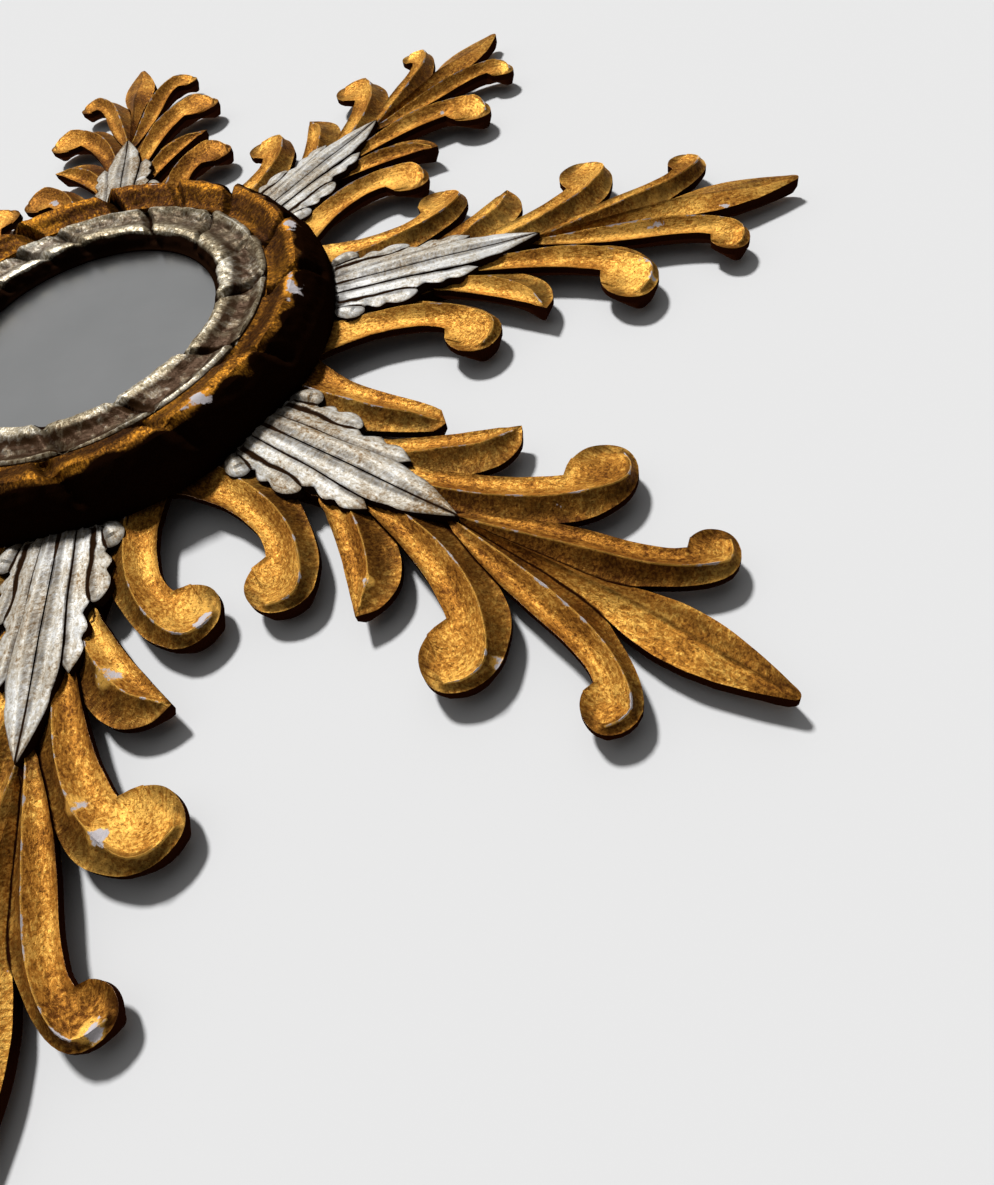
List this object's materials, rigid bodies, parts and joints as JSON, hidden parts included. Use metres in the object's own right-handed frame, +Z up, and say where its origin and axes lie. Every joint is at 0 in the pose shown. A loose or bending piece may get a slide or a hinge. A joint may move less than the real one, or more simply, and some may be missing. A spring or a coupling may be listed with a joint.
{
  "type": "sunburst mirror",
  "caption": "Round convex wall mirror in a rolled gilt and silvered frame, with carved acanthus leaf rays around it, turn buttons behind and a hinged hanging loop.",
  "frame": {"origin": "middle of the overall box, on the mirror's axis", "axes": "+Z up along the top ray, the glass faces -Y, the wall is on the +Y side"},
  "size_m": [0.7, 0.037, 0.7],
  "materials": {
    "gold_leaf": "worn gold leaf over dark bole and white gesso on carved wood",
    "silver_leaf": "tarnished silver leaf over gesso on carved wood",
    "mirror": "silvered convex glass",
    "board": "stained plywood",
    "peg_wood": "plain beech",
    "felt": "pressed felt",
    "brass": "aged brass",
    "steel": "dull steel"
  },
  "bodies": {
    "mirror": {"ring_frame": "gold_leaf", "ray_1": "gold_leaf", "ray_2": "gold_leaf", "ray_3": "gold_leaf", "ray_4": "gold_leaf", "ray_5": "gold_leaf", "ray_6": "gold_leaf", "ray_7": "gold_leaf", "ray_8": "gold_leaf", "sight_ring": "silver_leaf", "sepal_1": "silver_leaf", "sepal_2": "silver_leaf", "sepal_3": "silver_leaf", "sepal_4": "silver_leaf", "sepal_5": "silver_leaf", "sepal_6": "silver_leaf", "sepal_7": "silver_leaf", "sepal_8": "silver_leaf", "mirror_glass": "mirror", "backing_board": "board", "ray_pegs": "peg_wood", "packing_ring": "felt", "wall_pads": "felt", "button_screws": "brass", "hanger_strap": "brass", "hanger_screw": "brass", "ray_screws": "steel"},
    "hanger_loop": {"hanger_loop": "brass"},
    "turn_button_1": {"turn_button_1": "brass"},
    "turn_button_2": {"turn_button_2": "brass"},
    "turn_button_3": {"turn_button_3": "brass"},
    "turn_button_4": {"turn_button_4": "brass"}
  },
  "joints": [
    {"name": "turn_button_1_pivot", "type": "hinge", "parent": "mirror", "child": "turn_button_1", "pos_m": [0.03138, 0.0069, 0.07576], "axis": [0, 1, 0], "range_deg": [-90, 90]},
    {"name": "turn_button_2_pivot", "type": "hinge", "parent": "mirror", "child": "turn_button_2", "pos_m": [0.07576, 0.0069, -0.03138], "axis": [0, 1, 0], "range_deg": [-90, 90]},
    {"name": "turn_button_3_pivot", "type": "hinge", "parent": "mirror", "child": "turn_button_3", "pos_m": [-0.03138, 0.0069, -0.07576], "axis": [0, 1, 0], "range_deg": [-90, 90]},
    {"name": "turn_button_4_pivot", "type": "hinge", "parent": "mirror", "child": "turn_button_4", "pos_m": [-0.07576, 0.0069, 0.03138], "axis": [0, 1, 0], "range_deg": [-90, 90]},
    {"name": "hanger_loop_hinge", "type": "hinge", "parent": "mirror", "child": "hanger_loop", "pos_m": [0, 0.01385, 0.15], "axis": [1, 0, 0], "range_deg": [0, 180]}
  ]
}
